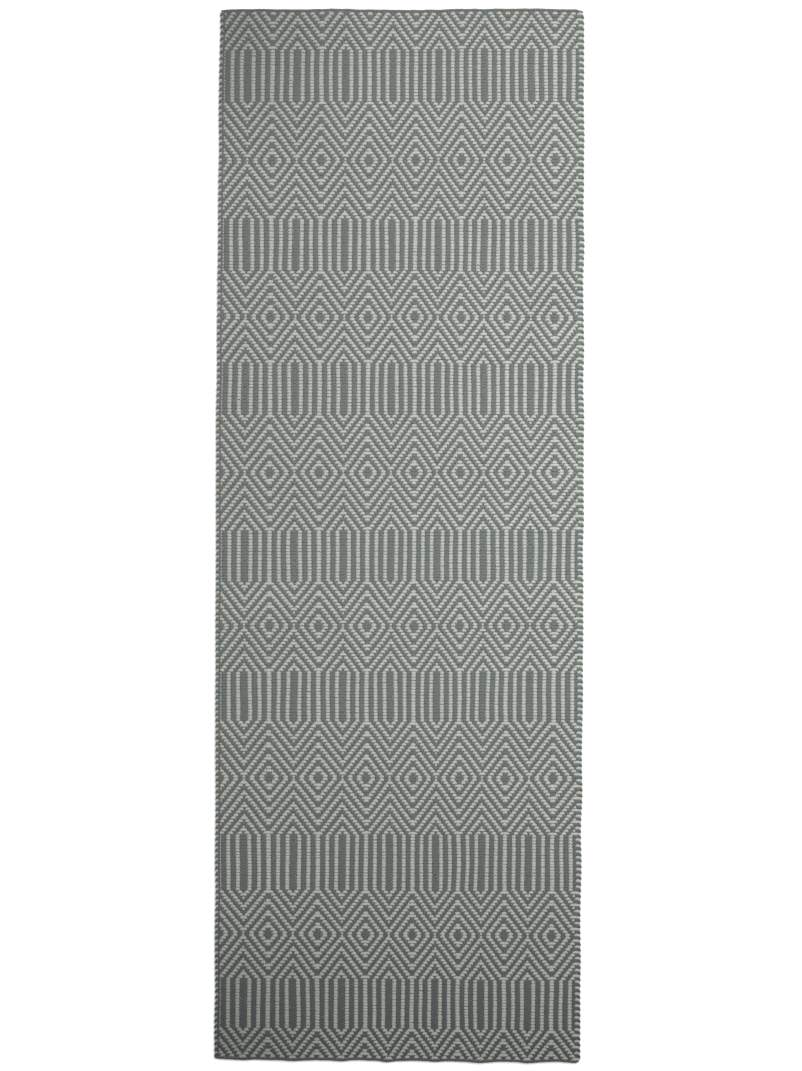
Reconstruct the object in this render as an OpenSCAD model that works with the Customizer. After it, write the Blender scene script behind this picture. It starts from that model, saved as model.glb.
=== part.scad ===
// Flatwoven runner rug: two wefts of different colour wound round a cotton warp,
// a thick cord at each selvedge, and a stitched hem web under each end.
// +Z is up, +Y runs to the head end, and the origin is under the middle of the rug.

/* [Rug] */
// Width across the selvedges
rug_w = 694; // [600:1:800]
// Length from foot to head
rug_l = 2000; // [1600:10:2400]
// Thickness of the woven cloth
rug_t = 7; // [6.6:0.1:9]

/* [Weft] */
// Courses of each weft colour, each standing for a few rows of the cloth
courses = 86; // [60:2:110]
// Width of the loop where a weft turns back at a selvedge
turn_w = 3; // [2:0.5:4]

/* [Warp] */
// Number of warp ends between the two selvedge cords
warp_count = 165; // [120:1:180]
// Diameter of a warp end
warp_d = 2; // [1.4:0.1:2.2]
// Diameter of a selvedge cord
selvedge_d = 2.4; // [2:0.1:2.5]

/* [Hem] */
// How far each hem web reaches in from the end
hem_l = 32; // [20:1:50]
// Thickness of a hem web
hem_t = 1.2; // [1:0.1:1.4]
// Length of one hem stitch
stitch_l = 5; // [3:0.5:7]
// Distance from one hem stitch to the next
stitch_pitch = 9; // [8:0.5:14]
// Thickness of the hem thread
thread_d = 0.5; // [0.4:0.1:0.6]

/* [Hidden] */
gap = 0.15;                                   // half the clearance between neighbours
course_pitch = rug_l / courses;
bar_w = course_pitch / 2 - gap;
half_w = rug_w / 2;
tunnel_z = 2.4;                               // floor of the tunnel that holds the warp
tunnel_h = 2.6;
tunnel_half_w = half_w - 8;
warp_z = tunnel_z + tunnel_h / 2;
cord_x = half_w - 10;
warp_half_w = half_w - 15;
hem_half_w = half_w - 12;
stitch_inset = 6;                             // stitch line to the hem web's inner edge
groove_w = 1.2;
groove_h = 0.7;
stitch_count = floor((2 * hem_half_w - 20) / stitch_pitch);
past = 1;                                     // how far a cutting box runs past a face
dark_yarn = [0.38, 0.41, 0.41];
pale_yarn = [0.74, 0.76, 0.72];
cotton = [0.83, 0.80, 0.72];

// Lower edge of course k
function bar_y(k) = -rug_l / 2 + k * course_pitch;

// Outline of one weft: straight courses joined by a turn at the right, then the left
function outer_chain(k) = [
    [k == 0 ? -half_w : turn_w - half_w, bar_y(k)],
    [half_w, bar_y(k)],
    [half_w, bar_y(k + 1) + bar_w],
    [k + 2 < courses ? turn_w - half_w : -half_w, bar_y(k + 1) + bar_w]
];
function inner_chain(k) = [
    [-half_w, bar_y(k) + bar_w],
    [half_w - turn_w, bar_y(k) + bar_w],
    [half_w - turn_w, bar_y(k + 1)],
    [-half_w, bar_y(k + 1)]
];
function outer_points() = [for (k = [0 : 2 : courses - 2]) each outer_chain(k)];
function inner_points() = [
    for (k = [0 : 2 : courses - 2])
        for (i = [0 : 3])
            inner_chain(k)[i]
];
function backwards(list) = [for (i = [len(list) - 1 : -1 : 0]) list[i]];

// Half the cloth's height at both selvedges, where the other weft's turns pass
module selvedge_half(low_z) {
    for (side = [-1, 1])
        translate([side * (half_w - turn_w / 2), 0, low_z + rug_t / 4])
            cube([turn_w + 2 * gap, rug_l + 2 * past, rug_t / 2 + 2 * gap], center = true);
}

// The tunnel through every course in which the warp lies
module warp_tunnel() {
    translate([-tunnel_half_w, -rug_l / 2 - past, tunnel_z])
        cube([2 * tunnel_half_w, rug_l + 2 * past, tunnel_h]);
}

// The recess under one end that takes its hem web
module hem_recess(side) {
    translate([0, side * (rug_l / 2 - hem_l / 2 + past / 2), 0])
        cube([2 * hem_half_w + 4 * gap, hem_l + 4 * gap + past, 2 * (hem_t + 2 * gap)], center = true);
}

// One whole weft, open where the other weft turns, where the warp runs and over the hems
module weft(removed_low_z) {
    difference() {
        linear_extrude(rug_t) polygon(concat(outer_points(), backwards(inner_points())));
        selvedge_half(removed_low_z);
        warp_tunnel();
        hem_recess(1);
        hem_recess(-1);
    }
}

module dark_weft() {
    color(dark_yarn) weft(0);
}

module pale_weft() {
    color(pale_yarn) mirror([0, 1, 0]) weft(rug_t / 2);
}

// A cord along the rug in the tunnel
module lengthwise_cord(x, d) {
    translate([x, rug_l / 2 - past, warp_z])
        rotate([90, 0, 0])
            cylinder(h = rug_l - 2 * past, d = d, $fn = 24);
}

module warp_ends() {
    color(cotton)
        for (i = [0 : warp_count - 1])
            lengthwise_cord(-warp_half_w + i * 2 * warp_half_w / (warp_count - 1), warp_d);
}

module left_selvedge_cord() {
    color(cotton) lengthwise_cord(-cord_x, selvedge_d);
}

module right_selvedge_cord() {
    color(cotton) lengthwise_cord(cord_x, selvedge_d);
}

// The plain cotton web under one end, with a groove in its underside for the stitches
module hem_web(side) {
    difference() {
        translate([-hem_half_w, side * rug_l / 2 - (side > 0 ? hem_l : 0), 0])
            cube([2 * hem_half_w, hem_l, hem_t]);
        translate([-half_w, side * (rug_l / 2 - hem_l + stitch_inset) - groove_w / 2, -past])
            cube([rug_w, groove_w, groove_h + past]);
    }
}

module head_hem_web() {
    color(cotton) hem_web(1);
}

module foot_hem_web() {
    color(cotton) hem_web(-1);
}

// A line of separate stitches lying in the hem web's groove
module hem_stitches(side) {
    for (i = [0 : stitch_count - 1])
        translate([
            (i - (stitch_count - 1) / 2) * stitch_pitch - stitch_l / 2,
            side * (rug_l / 2 - hem_l + stitch_inset),
            groove_h / 2
        ])
            rotate([0, 90, 0])
                cylinder(h = stitch_l, d = thread_d, $fn = 16);
}

module head_hem_stitches() {
    color(dark_yarn) hem_stitches(1);
}

module foot_hem_stitches() {
    color(dark_yarn) hem_stitches(-1);
}

dark_weft();
pale_weft();
warp_ends();
left_selvedge_cord();
right_selvedge_cord();
head_hem_web();
foot_hem_web();
head_hem_stitches();
foot_hem_stitches();
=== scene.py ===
"""A flatwoven runner rug, laid flat and seen from above.

Two wefts are wound yarn by yarn through a cotton warp, and a hem is sewn under each end.
"""
import math

import bpy
import numpy as np
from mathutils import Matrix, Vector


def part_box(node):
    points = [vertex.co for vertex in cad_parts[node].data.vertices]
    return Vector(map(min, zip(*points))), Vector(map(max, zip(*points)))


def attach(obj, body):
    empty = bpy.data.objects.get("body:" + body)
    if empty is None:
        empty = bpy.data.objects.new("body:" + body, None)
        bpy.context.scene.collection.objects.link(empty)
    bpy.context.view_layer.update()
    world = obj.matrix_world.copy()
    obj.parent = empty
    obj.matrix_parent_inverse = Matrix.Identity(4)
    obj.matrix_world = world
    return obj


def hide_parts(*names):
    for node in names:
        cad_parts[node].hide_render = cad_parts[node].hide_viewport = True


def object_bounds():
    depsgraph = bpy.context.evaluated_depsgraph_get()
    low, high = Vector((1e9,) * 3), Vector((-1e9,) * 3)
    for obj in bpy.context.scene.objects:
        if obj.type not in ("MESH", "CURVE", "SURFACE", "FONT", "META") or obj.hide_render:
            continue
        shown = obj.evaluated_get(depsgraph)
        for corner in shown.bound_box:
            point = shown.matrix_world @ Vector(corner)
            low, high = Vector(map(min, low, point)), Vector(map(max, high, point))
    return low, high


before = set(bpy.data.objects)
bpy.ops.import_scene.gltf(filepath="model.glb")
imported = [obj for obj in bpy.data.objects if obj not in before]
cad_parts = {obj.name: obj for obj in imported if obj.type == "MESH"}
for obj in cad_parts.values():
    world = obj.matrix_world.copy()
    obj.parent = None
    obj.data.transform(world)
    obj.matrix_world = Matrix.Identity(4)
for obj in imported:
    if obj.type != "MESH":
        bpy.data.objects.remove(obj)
cad_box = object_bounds()

# ---------------------------------------------------------------- the frame's sizes, in metres
LOW = np.array(cad_box[0])
HIGH = np.array(cad_box[1])
RUG_W, RUG_L, RUG_T = HIGH - LOW
HEAD_Y = HIGH[1]

# ---------------------------------------------------------------- camera, straight above the rug
CAMERA_HEIGHT = 10.0
CAMERA_X = 0.0025          # the rug lies slightly left of the picture's centre
CLIP_END = 100.0
SENSOR_MM = 36.0
VIEW_TO_RUG = 1.013245     # the picture's height against the rug's length
VIEW_H = RUG_L * VIEW_TO_RUG

camera_data = bpy.data.cameras.new("plan_camera")
camera_data.sensor_width = SENSOR_MM
camera_data.lens = SENSOR_MM * (CAMERA_HEIGHT - RUG_T) / VIEW_H
camera_data.clip_end = CLIP_END
camera = bpy.data.objects.new("plan_camera", camera_data)
camera.location = (CAMERA_X, 0.0, CAMERA_HEIGHT)
bpy.context.scene.collection.objects.link(camera)
bpy.context.scene.camera = camera

# ---------------------------------------------------------------- the draft
REPEAT = list(range(0, 11)) + [10, 10] + list(range(9, 0, -1))   # threading of one repeat
SHAFTS = 4
END_COUNT = 168            # warp ends across the cloth, the selvedges' included
FIRST_POINT = 12           # the end at the first lozenge's centre
EDGE_ENDS = 2              # ends outside the pattern at each selvedge
HEAD_ZIGZAG = 13           # rows before the first stripe band
FOOT_ZIGZAG = 11           # rows after the last
STRIPE_ROWS = [17, 17, 17, 17, 17, 19, 17]
DIAMOND_REACH = [19, 15, 19, 15, 19, 15]   # rows from a stripe band to a diamond's centre


def treadling():
    """The treadle step of every row, head to foot, and the first row of every band."""
    steps = list(range(HEAD_ZIGZAG, 0, -1))
    starts = [0]
    for band, rows in enumerate(STRIPE_ROWS):
        starts.append(len(steps))
        steps += [0] * rows
        starts.append(len(steps))
        if band < len(DIAMOND_REACH):
            reach = DIAMOND_REACH[band]
            steps += list(range(1, reach + 1)) + list(range(reach, 0, -1))
    steps += list(range(1, FOOT_ZIGZAG + 1))
    return steps, starts


STEPS, BAND_STARTS = treadling()
ROW_COUNT = len(STEPS)
PITCH = RUG_L / ROW_COUNT


def dark_on_top():
    """True where the dark weft passes over the warp on the face, by row and then by end."""
    ends = np.arange(END_COUNT)
    threads = np.array(REPEAT)[(ends - FIRST_POINT) % len(REPEAT)]
    lift = (threads[None, :] + np.array(STEPS)[:, None]) % SHAFTS
    top = lift < SHAFTS // 2
    odd_row = (np.arange(ROW_COUNT) % 2 == 1)[:, None]
    top[:, :EDGE_ENDS] = True
    top[:, :1] = odd_row               # the outermost left end is pale on every other row
    top[:, -EDGE_ENDS:] = ~odd_row     # both right edge ends are pale on the rows between
    top[0] = True                      # the first and last picks show only the dark weft
    top[-1] = True
    return top


TOP = dark_on_top()

# ---------------------------------------------------------------- how the cloth lies
TURN_ROOM = 0.0026         # room left at each side for the wefts' turns
CROWD = 0.04               # how much the ends spread on the left and crowd right of the middle
CROWD_PHASE = 0.12         # they are furthest apart this share of the way across
BUNCHING = 0.70            # the room each of three ends threaded alike takes, against another end's
LEAN = 0.0043              # the head lies this far to the right, the foot as far to the left
PACKING = 0.025            # rows are this share wider apart at the head, and closer at the foot
ROUND_HEAD = (0.002, 0.013)    # how far the head's left and right corners are rounded
ROUND_FOOT = (0.004, 0.007)
HEAD_NARROWING = 0.006     # the cloth is this share narrower at the head
HEAD_NARROW_OVER = 0.06    # which fades over about this share of its length
SWELL = 0.003              # this share narrower at both ends and wider midway
EDGE_WANDER = 0.0007       # how far each selvedge wanders
RIPPLE_X = 0.0006          # how far the cloth ripples across and along
RIPPLE_Y = 0.0008
BOW = 0.0009               # how far a row bows, one way and then the other down the rug
ROW_TILT = 0.0012          # how far a row's ends stand off its middle
TILT_WAVES = 2.2           # that tilt sways this many times down the rug
TILT_PHASE = 0.62
FOOT_TILT = 0.0028         # near the foot the rows tilt one way, by this much
FOOT_TILT_FROM = 0.84      # from this share of the length
FOOT_TILT_OVER = 0.012     # setting in over a few times this share
SCALLOP = 0.0022           # how far the foot bulges under each lozenge
SCALLOP_ENDS = 3.5         # how many ends to each side the bulge reaches
SCALLOP_ROWS = 5.0         # how many rows up it fades over
FRAY = 0.0007              # how uneven the head's edge is
FRAY_ROWS = 4.0            # how many rows down that fades over
HEAD_IN = 0.62             # the cloth starts this far inside the head's end, in row pitches
LENGTH_SHARE = 0.9986      # its length, against the frame's length less one pitch
HEAD_MARGIN = 0.3          # it keeps at least this far inside the head's end, in row pitches
FOOT_MARGIN = 0.002        # and may pass the foot's end by at most this
SMALLEST = 1e-6            # keeps a corner's divisor from being zero


def wobble(s, seed, waves):
    """A smooth curve through s, mostly between -1 and 1, as a sum of a few sines."""
    rate, fall, scale = 1.7, 0.7, 2.2
    rng = np.random.default_rng(seed)
    total = np.zeros_like(s)
    for k in range(1, waves + 1):
        total += np.sin(2 * math.pi * (k * s * rate + rng.random())) / k ** fall
    return total / scale


def ripple(u, s, seed, across_waves, down_waves):
    """A smooth uneven surface over the cloth, mostly between -1 and 1."""
    terms, slowest, scale = 7, 0.3, 3.5
    rng = np.random.default_rng(seed)
    total = np.zeros(np.broadcast(u, s).shape)
    for _ in range(terms):
        a = across_waves * rng.uniform(-1, 1)
        b = down_waves * rng.uniform(slowest, 1)
        total += np.sin(2 * math.pi * (a * u + b * s + rng.random()))
    return total / scale


def end_edges():
    """Where the gaps between the ends lie, from 0 to 1: ends with the same threading draw together."""
    ends = np.arange(END_COUNT)
    bunched = np.array(REPEAT)[(ends - FIRST_POINT) % len(REPEAT)] == max(REPEAT)
    room = np.where(bunched, BUNCHING, 1.0)
    return np.concatenate([[0.0], np.cumsum(room)]) / room.sum()


END_EDGES = end_edges()


def across(u):
    """Where a share u of the ends lies across the cloth, from 0 to 1."""
    u = np.interp(u, np.linspace(0, 1, END_COUNT + 1), END_EDGES)
    swing = np.sin(2 * math.pi * (u - CROWD_PHASE)) + math.sin(2 * math.pi * CROWD_PHASE)
    return u + CROWD * swing / (2 * math.pi)


def along(s):
    """Where a share s of the rows lies down the cloth, from 0 at the head to 1 at the foot."""
    return s + PACKING * np.sin(math.pi * s) / math.pi


def rounded(a, b, radius):
    """Distances from two edges, moved so that their corner is an arc of this radius."""
    p = np.minimum(a - radius, -SMALLEST)
    q = np.minimum(b - radius, -SMALLEST)
    pull = np.where((a < radius) & (b < radius), np.maximum(-p, -q) / np.hypot(p, q), 1.0)
    return radius + (a - radius) * pull, radius + (b - radius) * pull


def flat_place(u, s, width, length):
    """Distances from the left edge and from the head, with the cloth's four corners rounded."""
    right = across(u) * width
    down = along(s) * length
    for side, radius in enumerate(ROUND_HEAD):
        from_edge, from_end = rounded(width - right if side else right, down, radius)
        right = width - from_edge if side else from_edge
        down = from_end
    for side, radius in enumerate(ROUND_FOOT):
        from_edge, from_end = rounded(width - right if side else right, length - down, radius)
        right = width - from_edge if side else from_edge
        down = length - from_end
    return right, down


def row_tilt(s):
    """How far the right end of the row at s hangs below its middle."""
    foot = 1 / (1 + np.exp(-(s - FOOT_TILT_FROM) / FOOT_TILT_OVER))
    sway = np.sin(2 * math.pi * (TILT_WAVES * s + TILT_PHASE))
    return ROW_TILT * sway * (1 - foot) + FOOT_TILT * foot


def foot_bulge(u, s):
    """1 at the foot under each lozenge's centre, fading to 0 around it."""
    half = len(REPEAT) / 2
    ends_from_lozenge = (u * END_COUNT - FIRST_POINT - 0.5 + half) % len(REPEAT) - half
    beside = np.exp(-(ends_from_lozenge / SCALLOP_ENDS) ** 2)
    return beside * np.exp(-(1 - s) * ROW_COUNT / SCALLOP_ROWS)


def cloth_point(u, s):
    """Plan position of the point a share u across and s down the cloth."""
    width = RUG_W - 2 * TURN_ROOM
    right, down = flat_place(u, s, width, RUG_L - PITCH)
    fade = np.exp(-s / HEAD_NARROW_OVER)
    narrow = 1 - HEAD_NARROWING * fade - SWELL * np.cos(2 * math.pi * s)
    left_edge = EDGE_WANDER * wobble(s, seed=11, waves=9) * (1 - u)
    right_edge = EDGE_WANDER * wobble(s, seed=12, waves=9) * u
    x = (right / width - 0.5) * width * narrow + LEAN * (1 - 2 * s) + (left_edge + right_edge)
    x = x + RIPPLE_X * ripple(u, s, seed=21, across_waves=6.0, down_waves=26.0)
    bowed = BOW * wobble(u, seed=13, waves=4) * np.cos(3 * math.pi * s)
    uneven = RIPPLE_Y * ripple(u, s, seed=22, across_waves=5.0, down_waves=17.0) + bowed
    frayed = FRAY * wobble(u, seed=14, waves=14) * np.exp(-s * ROW_COUNT / FRAY_ROWS)
    y = HEAD_Y - PITCH * HEAD_IN - down * LENGTH_SHARE
    y = y - row_tilt(s) * (2 * u - 1) + uneven - SCALLOP * foot_bulge(u, s) + frayed
    return x, np.clip(y, LOW[1] - FOOT_MARGIN, HEAD_Y - PITCH * HEAD_MARGIN)


# ---------------------------------------------------------------- yarn as a swept tube
# Pairs are for the pale weft and then the dark one. Pairs of pairs, and CROSS_SHIFT, are for the
# rows of a stripe band and then for all other rows.
SIDES = 6
MID_WIDE = (0.53 * PITCH, 0.55 * PITCH)      # half a yarn's width in the middle of a float
TIP_WIDE = ((0.25 * PITCH, 0.35 * PITCH), (0.32 * PITCH, 0.31 * PITCH))     # where it dives
TIP_Y = ((-0.26 * PITCH, 0.16 * PITCH), (-0.20 * PITCH, 0.20 * PITCH))      # how far it's pushed aside
TIP_LEVEL = ((-0.25, 0.25), (0.05, -0.05))   # how high it still stands there, from -1 to 1
CROSS_SHIFT = (0.13, -0.03)                  # how far a dark float runs past the gaps it dives in, in ends
FOLD_WIDE = 0.7                              # the pick on each fold shows this much of its width
FACET = math.sin(math.pi / 3)                # a six-sided section's height against its ellipse's
HALF_FLAT = 0.00125 / FACET                  # half a yarn's height where it floats
HALF_ROUND = 0.00150 / FACET                 # and where it dives
FLOAT_Z = 0.5 * RUG_T - HALF_FLAT * FACET    # from the cloth's middle to a float's centre line
TAPER_ENDS = 2.5           # a float swells to its full width over at most this many ends
LONG_FLOAT = 5             # a float over more ends than this dips at the gaps between them
GAP_FULL = 0.86            # how full it still is there
SHORT_FULL = 0.92          # how full a float over a single end is
DIVE_LEVEL = 0.74          # how high a float stands where it begins, against its middle
EDGE_LEVEL = 0.6           # how high and how full a yarn is at the selvedge
PLUMP_ALONG = 0.09         # how much a yarn's width varies along it, and from pick to pick
PLUMP_PICK = 0.04
STRAY = 0.00025            # how far a yarn strays along the cloth
TURN_SHARES = (0.2, 0.5, 0.8)    # the turn's points, between one row and the next
TURN_REACH = (0.3, 0.45)         # how much of its room a turn fills
TURN_RISE = 0.0009               # how far the dark turns lie above and the pale ones below
TURN_WIDE = TIP_WIDE[1][0]
HEM_LOW, HEM_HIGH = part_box("head_hem_web")
HEM_L = HEM_HIGH[1] - HEM_LOW[1]
HEM_T = HEM_HIGH[2] - HEM_LOW[2]
HEM_CLEAR = 1.12           # the cloth lies flat again this many hem lengths in
HEM_RAMP = 0.1             # and comes down over this many


def hem_share(s):
    """1 over the hems, where the cloth is lifted by the web under it, and 0 elsewhere."""
    reach = HEM_L / RUG_L
    edge = np.minimum(s, 1 - s)
    return np.clip((reach * HEM_CLEAR - edge) / (reach * HEM_RAMP), 0, 1)


def float_runs(over):
    """First and past-the-last end of every run of ends that the yarn crosses on the same face."""
    edges = np.flatnonzero(np.diff(over)) + 1
    starts = np.concatenate([[0], edges])
    stops = np.concatenate([edges, [len(over)]])
    return list(zip(starts, stops))


def float_profile(over, dark_over, band, kind):
    """How high, how full and how far shifted a pick is, at every half end across the cloth."""
    steps = 2 * END_COUNT + 1
    level = np.full(steps, TIP_LEVEL[band][kind])
    fullness = np.zeros(steps)
    shift = np.zeros(steps)
    for start, stop in float_runs(over):
        inside = np.arange(2 * start + 1, 2 * stop)
        from_dive = np.minimum((inside / 2 - start), (stop - inside / 2))
        reach = from_dive / min((stop - start) / 2, TAPER_ENDS)
        full = 1 - (1 - np.clip(reach, 0, 1)) ** 2
        if stop - start > LONG_FLOAT:
            full = full * np.where(inside % 2 == 1, 1.0, GAP_FULL)
        fullness[inside] = full * (SHORT_FULL if stop - start == 1 else 1.0)
        level[inside] = over[start] * (DIVE_LEVEL + (1 - DIVE_LEVEL) * full)
        shift[2 * start] = -CROSS_SHIFT[band] * dark_over[start]
    shift[0] = 0
    for edge in (0, -1):
        level[edge] = EDGE_LEVEL * over[edge]
        fullness[edge] = EDGE_LEVEL
    return level, fullness, shift


def smooth_noise(rng, count, width, divisor):
    """Random values, each summed with its neighbours over a width and divided."""
    draws = rng.standard_normal(count + width - 1)
    return np.convolve(draws, np.ones(width) / divisor, "valid")


def row_path(row, sign):
    """One pick's centre line and half sizes, from the left selvedge to the right.

    sign is 1 for the dark weft and -1 for the pale one.
    """
    kind = 1 if sign > 0 else 0
    band = 0 if STEPS[row] == 0 else 1
    tip = TIP_WIDE[band][kind]
    dark_over = np.where(TOP[row], 1.0, -1.0)
    level, fullness, shift = float_profile(dark_over * sign, dark_over, band, kind)
    steps = len(level)
    s = (row + 0.5) / ROW_COUNT
    x, y = cloth_point((np.arange(steps) / 2 + shift) / END_COUNT, np.full(steps, s))
    y = y + TIP_Y[band][kind] * (1 - fullness)
    lift = float(hem_share(np.array(s))) * HEM_T / 2
    z = 0.5 * RUG_T + lift + level * (FLOAT_Z - lift)
    rng = np.random.default_rng(row * 2 + kind)
    plump = 1 + PLUMP_ALONG * smooth_noise(rng, steps, width=5, divisor=5)
    plump = plump + PLUMP_PICK * rng.standard_normal()
    wide = (tip + (MID_WIDE[kind] - tip) * fullness) * plump
    if row in (0, ROW_COUNT - 1):
        wide = wide * FOLD_WIDE
    tall = HALF_ROUND + (HALF_FLAT - HALF_ROUND) * fullness
    y = y + STRAY * smooth_noise(rng, steps, width=9, divisor=3)
    return np.stack([x, y, z], 1), wide, tall


def turn_points(start, end, out, sign):
    """The points of a turn at a selvedge; out is 1 at the right and -1 at the left."""
    room = TURN_ROOM * TURN_REACH[1 if sign > 0 else 0]
    points = []
    for share in TURN_SHARES:
        point = start + (end - start) * share
        point[0] += out * room * math.sin(math.pi * share)
        point[2] += sign * TURN_RISE * math.sin(math.pi * share)
        points.append(point)
    return np.array(points)


def weft_path(first, last, sign):
    """The whole run of one weft over rows first to last - 1, turning at alternate selvedges."""
    points = []
    wides = []
    talls = []
    for row in range(first, last):
        path, wide, tall = row_path(row, sign)
        rightward = row % 2 == 0
        if not rightward:
            path, wide, tall = path[::-1], wide[::-1], tall[::-1]
        points.append(path)
        wides.append(wide)
        talls.append(tall)
        if row + 1 < ROW_COUNT:
            following = row_path(row + 1, sign)[0]
            turn = turn_points(path[-1], following[-1 if rightward else 0], 1 if rightward else -1, sign)
            points.append(turn)
            wides.append(np.full(len(turn), TURN_WIDE))
            talls.append(np.full(len(turn), HALF_ROUND))
    return np.concatenate(points), np.concatenate(wides), np.concatenate(talls)


def unit(vectors):
    """Each row of vectors at length one."""
    return vectors / np.maximum(np.linalg.norm(vectors, axis=1, keepdims=True), 1e-9)


def tube(name, path, wide, tall):
    """A closed mesh swept along path, wide and tall being its half sizes at every point."""
    step = np.empty_like(path)
    step[1:-1] = path[2:] - path[:-2]
    step[0] = path[1] - path[0]
    step[-1] = path[-1] - path[-2]
    step = unit(step)
    side = unit(np.stack([-step[:, 1], step[:, 0], np.zeros(len(path))], 1))
    up = np.cross(step, side)
    up *= np.sign(up[:, 2:3] + 1e-9)
    angle = 2 * math.pi * np.arange(SIDES) / SIDES
    ring = (
        path[:, None, :]
        + side[:, None, :] * (wide[:, None] * np.cos(angle))[:, :, None]
        + up[:, None, :] * (tall[:, None] * np.sin(angle))[:, :, None]
    )
    return mesh_of_rings(name, ring)


def ring_faces(count, sides, first):
    """Corner numbers of the quads between count rings, wound outwards."""
    ring = np.arange(count - 1)[:, None] * sides
    a = ring + np.arange(sides)[None, :]
    b = ring + (np.arange(sides)[None, :] + 1) % sides
    return np.stack([a, b, b + sides, a + sides], 2).reshape(-1, 4) + first


def mesh_of_rings(name, *tubes):
    """One mesh of any number of capped tubes, each an array of rings of points."""
    verts = []
    quads = []
    caps = []
    first = 0
    for ring in tubes:
        count, sides = ring.shape[:2]
        verts.append(ring.reshape(-1, 3))
        quads.append(ring_faces(count, sides, first))
        caps.append(list(range(first + sides - 1, first - 1, -1)))
        caps.append(list(range(first + (count - 1) * sides, first + count * sides)))
        first += count * sides
    verts = np.concatenate(verts).astype(np.float32)
    quads = np.concatenate(quads).astype(np.int32)
    cap_loops = np.array([v for cap in caps for v in cap], np.int32)
    cap_sizes = np.array([len(cap) for cap in caps], np.int32)
    sizes = np.concatenate([np.full(len(quads), 4, np.int32), cap_sizes])
    starts = np.concatenate([[0], np.cumsum(sizes)[:-1]]).astype(np.int32)
    loops = np.concatenate([quads.ravel(), cap_loops])
    mesh = bpy.data.meshes.new(name)
    mesh.vertices.add(len(verts))
    mesh.vertices.foreach_set("co", verts.ravel())
    mesh.loops.add(len(loops))
    mesh.loops.foreach_set("vertex_index", loops)
    mesh.polygons.add(len(sizes))
    mesh.polygons.foreach_set("loop_start", starts)
    mesh.update(calc_edges=True)
    mesh.polygons.foreach_set("use_smooth", np.ones(len(sizes), bool))
    mesh.validate()
    piece = bpy.data.objects.new(name, mesh)
    bpy.context.scene.collection.objects.link(piece)
    return piece


# ---------------------------------------------------------------- materials
class Nodes:
    """A short way to build a node tree."""

    def __init__(self, name):
        self.material = bpy.data.materials.new(name)
        self.material.use_nodes = True
        self.tree = self.material.node_tree
        self.shader = self.tree.nodes["Principled BSDF"]

    def add(self, kind, **values):
        """A new node; a keyword is one of its settings or, with _ for a space, one of its inputs."""
        node = self.tree.nodes.new(kind)
        for key, value in values.items():
            if hasattr(node, key):
                setattr(node, key, value)
            else:
                node.inputs[key.replace("_", " ")].default_value = value
        return node

    def link(self, out, into):
        self.tree.links.new(out, into)

    def stretched(self, vector, scale):
        node = self.add("ShaderNodeMapping")
        node.inputs["Scale"].default_value = scale
        self.link(vector, node.inputs["Vector"])
        return node.outputs["Vector"]

    def noise(self, vector, scale, detail):
        """Noise whose grain along each axis is set by the three values of scale."""
        node = self.add("ShaderNodeTexNoise", Scale=1.0, Detail=detail)
        self.link(self.stretched(vector, scale), node.inputs["Vector"])
        return node.outputs["Fac"]

    def math(self, operation, first, second=None):
        """The result of an operation on a socket and, where there is one, a number or a second socket."""
        node = self.add("ShaderNodeMath", operation=operation)
        self.link(first, node.inputs[0])
        if isinstance(second, float):
            node.inputs[1].default_value = second
        elif second is not None:
            self.link(second, node.inputs[1])
        return node.outputs[0]

    def ramp(self, value, low, high, at_low=0.0, at_high=1.0):
        node = self.add("ShaderNodeMapRange")
        node.inputs["From Min"].default_value = low
        node.inputs["From Max"].default_value = high
        node.inputs["To Min"].default_value = at_low
        node.inputs["To Max"].default_value = at_high
        self.link(value, node.inputs["Value"])
        return node.outputs["Result"]

    def mix(self, share, first, second, blend="MIX"):
        """Two tones, each a colour or a socket, mixed by a share."""
        node = self.add("ShaderNodeMix", data_type="RGBA", blend_type=blend)
        colours = [s for s in node.inputs if s.type == "RGBA"]
        for socket, value in zip(colours, (first, second)):
            if isinstance(value, tuple):
                socket.default_value = (*value, 1.0)
            else:
                self.link(value, socket)
        self.link(share, node.inputs["Factor"])
        return [s for s in node.outputs if s.type == "RGBA"][0]

    def bump(self, height, strength, distance, under=None):
        node = self.add("ShaderNodeBump", Strength=strength, Distance=distance)
        self.link(height, node.inputs["Height"])
        if under is not None:
            self.link(under, node.inputs["Normal"])
        return node.outputs["Normal"]


# How fine each pattern is along X, Y and Z.
STREAK_SCALE = (9.0, 95.0, 60.0)
FLECK_SCALE = (260.0, 520.0, 520.0)
PATCH_SCALE = (5.0, 7.0, 1.0)
TWIST_SCALE = (95.0, 150.0, 40.0)
FUZZ_SCALE = (900.0, 1500.0, 1500.0)
MOTTLE_SCALE = (60.0, 90.0, 60.0)

# Where a pattern's value starts and stops mixing a tone in, and the tone's share at both.
COOL_RAMP = (0.36, 0.64, 0.0, 1.0)
LIGHT_FLECKS = (0.52, 0.78, 0.0, 0.5)
DEEP_FLECKS = (0.26, 0.5, 0.45, 0.0)
DEEP_PATCHES = (0.3, 0.7, 0.0, 0.16)
TWIST_GROOVE_SHADE = (0.15, 0.6, 0.34, 0.0)
COTTON_MOTTLE = (0.35, 0.65, 0.0, 1.0)
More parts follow.
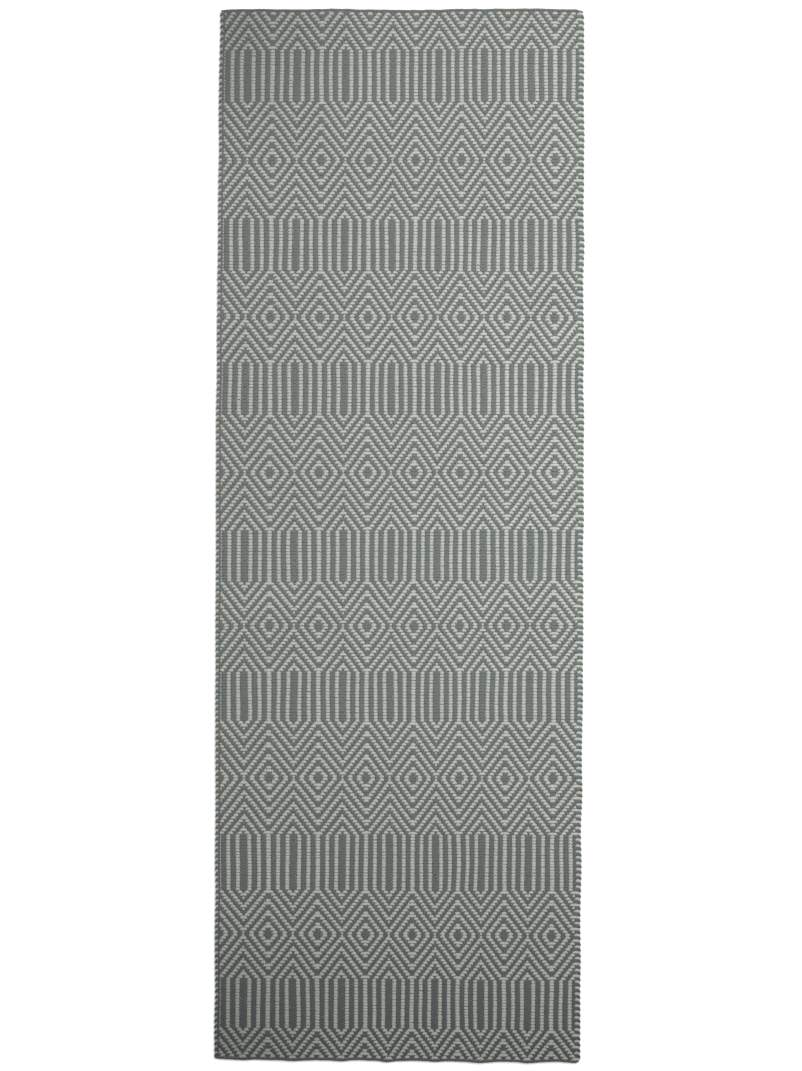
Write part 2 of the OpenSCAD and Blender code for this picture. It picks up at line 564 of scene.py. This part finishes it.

# Where on the rug the colour is darkened, partly by painted shade, as shares of the rug's width from its
# middle and of its length.
LEFT_PAINTED_SHADE = ((0.5, 0.6), (-0.1, 0.22))     # painted shade, as the light falls from the right: where each from the left edge ends; its share
HEAD_SHADES = ((0.25, 0.3), (0.05, 0.28))    # how far down from the head each reaches; its share
FOOT_FROM = 0.48           # the foot's deeper colour, partly the yarn's own and partly painted shade, comes in from here
FOOT_POWER = 1.7           # slowly at first
CORNER_X = -0.08           # both left corners are darker: in to here
CORNER_Y = (0.34, 0.48)    # and from here to here off the middle
CORNER_TONE = (0.66, 0.66, 0.66)
DEEP_SHARE = 0.62          # the deep tone against the yarn's colour
COTTON_SHADE = 0.8         # the mottled cotton's deeper tone against its colour


def heathered(n, place, flecks, colour, cool, deep, fleck_gain):
    """The yarn's own tone: streaks of a cooler colour, light and deep flecks and deeper patches."""
    streaks = n.noise(place, STREAK_SCALE, 2.0)
    patches = n.noise(place, PATCH_SCALE, 2.0)
    light = tuple(min(1.0, c * (1 + fleck_gain)) for c in colour)
    tone = n.mix(n.ramp(streaks, *COOL_RAMP), colour, cool)
    tone = n.mix(n.ramp(flecks, *LIGHT_FLECKS), tone, light)
    tone = n.mix(n.ramp(flecks, *DEEP_FLECKS), tone, deep)
    return n.mix(n.ramp(patches, *DEEP_PATCHES), tone, deep)


def painted_shade_and_foot_tone(n, place, tone, deep, foot_tone_and_shade):
    """The tone darkened across the rug: painted shade to the left, where less light falls; darker at the
    head and at both left corners; towards the foot, partly the yarn's own deeper tone and partly painted
    shade.
    """
    axes = n.add("ShaderNodeSeparateXYZ")
    n.link(place, axes.inputs["Vector"])
    x = axes.outputs["X"]
    y = axes.outputs["Y"]
    # painted shade on the left side, where less light falls
    for stop, share in LEFT_PAINTED_SHADE:
        tone = n.mix(n.ramp(x, -0.5 * RUG_W, stop * RUG_W, share, 0.0), tone, deep)
    for reach, share in HEAD_SHADES:
        tone = n.mix(n.ramp(y, HEAD_Y - reach * RUG_L, HEAD_Y, 0.0, share), tone, deep)
    # towards the foot: partly the yarn's own deeper tone, partly painted shade where the light falls off
    footward = n.ramp(y, HEAD_Y - FOOT_FROM * RUG_L, LOW[1])
    tone = n.mix(n.math("POWER", footward, FOOT_POWER), tone, foot_tone_and_shade)
    leftward = n.ramp(x, -0.5 * RUG_W, CORNER_X * RUG_W, 1.0, 0.0)
    endward = n.ramp(n.math("ABSOLUTE", y), *[share * RUG_L for share in CORNER_Y])
    return n.mix(n.math("MULTIPLY", leftward, endward), tone, CORNER_TONE, "MULTIPLY")


def yarn_material(name, colour, cool, foot_tone_and_shade, fleck_gain):
    """Matte spun yarn with ply twist and fuzz; fleck_gain is how much lighter its light flecks are."""
    n = Nodes(name)
    place = n.add("ShaderNodeTexCoord").outputs["Object"]
    flecks = n.noise(place, FLECK_SCALE, 3.0)
    deep = tuple(c * DEEP_SHARE for c in colour)
    twist = n.add(
        "ShaderNodeTexWave", wave_type="BANDS", bands_direction="DIAGONAL",
        Scale=1.0, Distortion=1.2, Detail_Scale=2.0,
    )
    n.link(n.stretched(place, TWIST_SCALE), twist.inputs["Vector"])
    tone = heathered(n, place, flecks, colour, cool, deep, fleck_gain)
    # painted shade in the grooves of the ply twist
    tone = n.mix(n.ramp(twist.outputs["Fac"], *TWIST_GROOVE_SHADE), tone, deep)
    tone = painted_shade_and_foot_tone(n, place, tone, deep, foot_tone_and_shade)
    n.link(tone, n.shader.inputs["Base Color"])
    fuzz = n.noise(place, FUZZ_SCALE, 4.0)
    normal = n.bump(twist.outputs["Fac"], strength=0.7, distance=0.0008)
    normal = n.bump(fuzz, strength=0.7, distance=0.0005, under=normal)
    n.link(normal, n.shader.inputs["Normal"])
    n.link(n.ramp(flecks, 0.3, 0.7, at_low=0.84, at_high=0.97), n.shader.inputs["Roughness"])
    n.shader.inputs["Specular IOR Level"].default_value = 0.18
    n.shader.inputs["Sheen Weight"].default_value = 0.25
    n.shader.inputs["Sheen Roughness"].default_value = 0.6
    return n.material


def cotton_material(name, colour, grain):
    """Mottled cotton with a fine crossed grain in its bump; a larger grain is a finer one."""
    n = Nodes(name)
    place = n.add("ShaderNodeTexCoord").outputs["Object"]
    mottle = n.noise(place, MOTTLE_SCALE, 4.0)
    tone = n.mix(n.ramp(mottle, *COTTON_MOTTLE), colour, tuple(c * COTTON_SHADE for c in colour))
    n.link(tone, n.shader.inputs["Base Color"])
    bands = []
    for direction in ("X", "Y"):
        wave = n.add(
            "ShaderNodeTexWave", wave_type="BANDS", bands_direction=direction,
            Scale=1.0, Distortion=0.6,
        )
        n.link(n.stretched(place, (grain, grain, grain)), wave.inputs["Vector"])
        bands.append(wave.outputs["Fac"])
    weave = n.math("MULTIPLY", *bands)
    n.link(n.bump(weave, strength=0.5, distance=0.0004), n.shader.inputs["Normal"])
    n.link(n.ramp(mottle, 0.3, 0.7, at_low=0.8, at_high=0.95), n.shader.inputs["Roughness"])
    n.shader.inputs["Specular IOR Level"].default_value = 0.2
    return n.material


DARK = yarn_material(
    "dark_yarn",
    colour=(0.151, 0.168, 0.152),
    cool=(0.135, 0.163, 0.156),
    foot_tone_and_shade=(0.030, 0.038, 0.040),
    fleck_gain=0.9,
)
PALE = yarn_material(
    "pale_yarn",
    colour=(0.495, 0.511, 0.468),
    cool=(0.468, 0.498, 0.461),
    foot_tone_and_shade=(0.235, 0.252, 0.212),
    fleck_gain=0.2,
)
COTTON = cotton_material("undyed_cotton", (0.62, 0.58, 0.50), grain=420.0)
HEM_CLOTH = cotton_material("hem_cloth", (0.56, 0.53, 0.46), grain=700.0)
THREAD = cotton_material("hem_thread", (0.16, 0.18, 0.18), grain=1500.0)


def place_piece(piece, material, slot, *nodes):
    """Gives a piece its material and its body, and hides the CAD nodes that it stands for."""
    piece.data.materials.append(material)
    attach(piece, "root")
    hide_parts(*nodes)
    return piece


# ---------------------------------------------------------------- the wefts, band by band
def band_rows():
    """First and past-the-last row of every pattern band, head to foot."""
    return list(zip(BAND_STARTS, BAND_STARTS[1:] + [ROW_COUNT]))


def make_wefts():
    """Both wefts, in one stretch for each pattern band.

    A band's two stretches together are one sheet of cloth.
    """
    for band, (first, last) in enumerate(band_rows()):
        dark = tube(f"dark_weft_{band + 1:02d}", *weft_path(first, last, 1))
        pale = tube(f"pale_weft_{band + 1:02d}", *weft_path(first, last, -1))
        place_piece(dark, DARK, "dark_weft_yarn", "dark_weft")
        place_piece(pale, PALE, "pale_weft_yarn", "pale_weft")


# ---------------------------------------------------------------- the warp and the selvedge cords
WARP_RADIUS = 0.0009
CORD_RADIUS = 0.0012
WARP_STATIONS = 60         # rings along a warp end, and along a cord
CORD_STATIONS = 120
CORD_END_IN = 0.001        # both stop this share of the rows short of each end


def lengthwise(u, radius, stations):
    """Rings of a cord down the cloth, at a share u across it, from the foot to the head."""
    s = np.linspace(CORD_END_IN, 1 - CORD_END_IN, stations)
    x, y = cloth_point(np.full_like(s, u), s)
    z = 0.5 * RUG_T + hem_share(s) * HEM_T / 2
    angle = -2 * math.pi * (np.arange(SIDES) + 0.5) / SIDES
    ring = np.stack([
        x[:, None] + radius * np.cos(angle),
        np.repeat(y[:, None], SIDES, 1),
        z[:, None] + radius * np.sin(angle),
    ], 2)
    return ring[::-1]


def make_warp():
    """The ends inside the cloth, and one thicker cord in place of each selvedge's edge ends."""
    inner = range(EDGE_ENDS, END_COUNT - EDGE_ENDS)
    rings = [lengthwise((i + 0.5) / END_COUNT, WARP_RADIUS, WARP_STATIONS) for i in inner]
    place_piece(mesh_of_rings("warp", *rings), COTTON, "warp_cotton", "warp_ends")
    inset = 0.5 * EDGE_ENDS / END_COUNT
    for side, share in (("left", inset), ("right", 1 - inset)):
        cord = mesh_of_rings(f"{side}_edge_cord", lengthwise(share, CORD_RADIUS, CORD_STATIONS))
        place_piece(cord, COTTON, "selvedge_cotton", f"{side}_selvedge_cord")


# ---------------------------------------------------------------- the hems
HEM_INSET = 0.004          # the web stays this far inside the cloth's end
WEB_SIDE_IN = 0.02         # and this share of the ends inside its sides
WEB_COLUMNS = 200
WEB_ROWS = 33
WEB_RAGGED = 0.0007        # how uneven the web's inner edge is
WEB_TOP = 0.90             # its two faces' heights, as shares of its thickness
WEB_UNDER = 0.06
WEAVE_DEEP = 0.05          # how deep its weave is, in the same shares
WEAVE_ACROSS = 900.0       # how fine the weave is across the cloth and inwards from its end
WEAVE_INWARD = 2600.0
FURROW_DEEP = 0.52         # how far the seam pulls the under face up, in the same shares
FURROW_WIDE = 0.0013
STITCH_IN = 0.026          # from the cloth's end to the seam
STITCHES = 72              # in one seam
STITCH_RADIUS = 0.00024
HALF_STITCH = 0.0026       # half a stitch's length
STITCH_POINTS = 7
STITCH_CLEAR = 0.0001      # a stitch's lowest point is about this high
STITCH_BOW = 0.0003        # how much higher its ends are than its middle


def from_head(end, reach):
    """A share of the length, measured inwards from one end, as a share from the head."""
    return reach if end == "head" else 1 - reach


def make_web(end):
    """The plain web turned under one end, with a furrow along the seam in its under face."""
    low, high = [np.array(c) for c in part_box(f"{end}_hem_web")]
    thick = high[2] - low[2]
    inward = np.linspace(HEM_INSET, HEM_L, WEB_ROWS)[None, :]
    u = np.linspace(WEB_SIDE_IN, 1 - WEB_SIDE_IN, WEB_COLUMNS)[:, None] + 0 * inward
    ragged = WEB_RAGGED * wobble(u, seed=31, waves=12) * (inward / HEM_L)
    x, y = cloth_point(u, from_head(end, (inward + ragged) / RUG_L))
    furrow = np.exp(-((inward - STITCH_IN) / FURROW_WIDE) ** 2)
    weave = np.sin(u * WEAVE_ACROSS) * np.sin(inward * WEAVE_INWARD)
    top = low[2] + thick * (WEB_TOP + WEAVE_DEEP * weave)
    under = low[2] + thick * (WEB_UNDER + WEAVE_DEEP * weave + FURROW_DEEP * furrow)
    upper = np.stack([x, y, top], 2)
    lower = np.stack([x, y, under], 2)
    ring = np.concatenate([upper, lower[:, ::-1]], 1)
    if end == "head":
        ring = ring[:, ::-1]
    web = mesh_of_rings(f"{end}_hem", ring)
    place_piece(web, HEM_CLOTH, "hem_cotton", f"{end}_hem_web")


def make_seam(end):
    """The running stitches that hold one web to the cloth, seen on the web's under face."""
    low, high = [np.array(c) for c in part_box(f"{end}_hem_stitches")]
    shares = (np.linspace(low[0], high[0], 2 * STITCHES + 1)[1::2] - LOW[0]) / RUG_W
    angle = 2 * math.pi * np.arange(SIDES) / SIDES
    section = np.stack([0 * angle, STITCH_RADIUS * np.cos(angle), STITCH_RADIUS * np.sin(angle)], 1)
    t = np.linspace(-1, 1, STITCH_POINTS)
    s = np.full(STITCH_POINTS, from_head(end, STITCH_IN / RUG_L))
    z = STITCH_RADIUS + STITCH_CLEAR + STITCH_BOW * t ** 2
    stitches = []
    for share in shares:
        x, y = cloth_point(share + HALF_STITCH / RUG_W * t, s)
        line = np.stack([x, y, z], 1)
        stitches.append(line[:, None, :] + section[None])
    seam = mesh_of_rings(f"{end}_hem_seam", *stitches)
    place_piece(seam, THREAD, "hem_thread", f"{end}_hem_stitches")


# ---------------------------------------------------------------- floor and light
FLOOR_REACH = 14.0         # from the rug's middle to each edge of the floor
FLOOR_Z = -0.0003          # just under the rug
FLOOR_WHITE = (0.93, 0.93, 0.93, 1)
SURROUND_STRENGTH = 0.75
# Each light's name, place, size and power.
LIGHTS = (
    ("key", (2.2, 1.6, 4.5), 3.0, 190.0),
    ("fill", (-2.8, 0.8, 5.0), 4.0, 70.0),
)


def make_floor():
    """A plain white floor under the rug."""
    mesh = bpy.data.meshes.new("floor")
    reach = FLOOR_REACH
    corners = [(-reach, -reach, 0), (reach, -reach, 0), (reach, reach, 0), (-reach, reach, 0)]
    mesh.from_pydata(corners, [], [(0, 1, 2, 3)])
    floor = bpy.data.objects.new("floor", mesh)
    floor.location.z = FLOOR_Z
    bpy.context.scene.collection.objects.link(floor)
    n = Nodes("white_floor")
    n.shader.inputs["Base Color"].default_value = FLOOR_WHITE
    n.shader.inputs["Roughness"].default_value = 0.9
    mesh.materials.append(n.material)


def make_light():
    """A soft key light from the right, a weaker fill from the left, and a white surround."""
    world = bpy.data.worlds.new("studio")
    world.use_nodes = True
    world.node_tree.nodes["Background"].inputs["Color"].default_value = (1, 1, 1, 1)
    world.node_tree.nodes["Background"].inputs["Strength"].default_value = SURROUND_STRENGTH
    bpy.context.scene.world = world
    for name, place, size, power in LIGHTS:
        data = bpy.data.lights.new(name, "AREA")
        data.size = size
        data.energy = power
        light = bpy.data.objects.new(name, data)
        light.location = place
        aim = -np.array(place)
        light.rotation_euler = (
            math.atan2(math.hypot(aim[0], aim[1]), -aim[2]),
            0.0,
            math.atan2(aim[1], aim[0]) - math.pi / 2,
        )
        bpy.context.scene.collection.objects.link(light)
    bpy.context.scene.view_settings.view_transform = "Standard"


make_floor()
make_light()
make_wefts()
make_warp()
for hem_end in ("head", "foot"):
    make_web(hem_end)
    make_seam(hem_end)
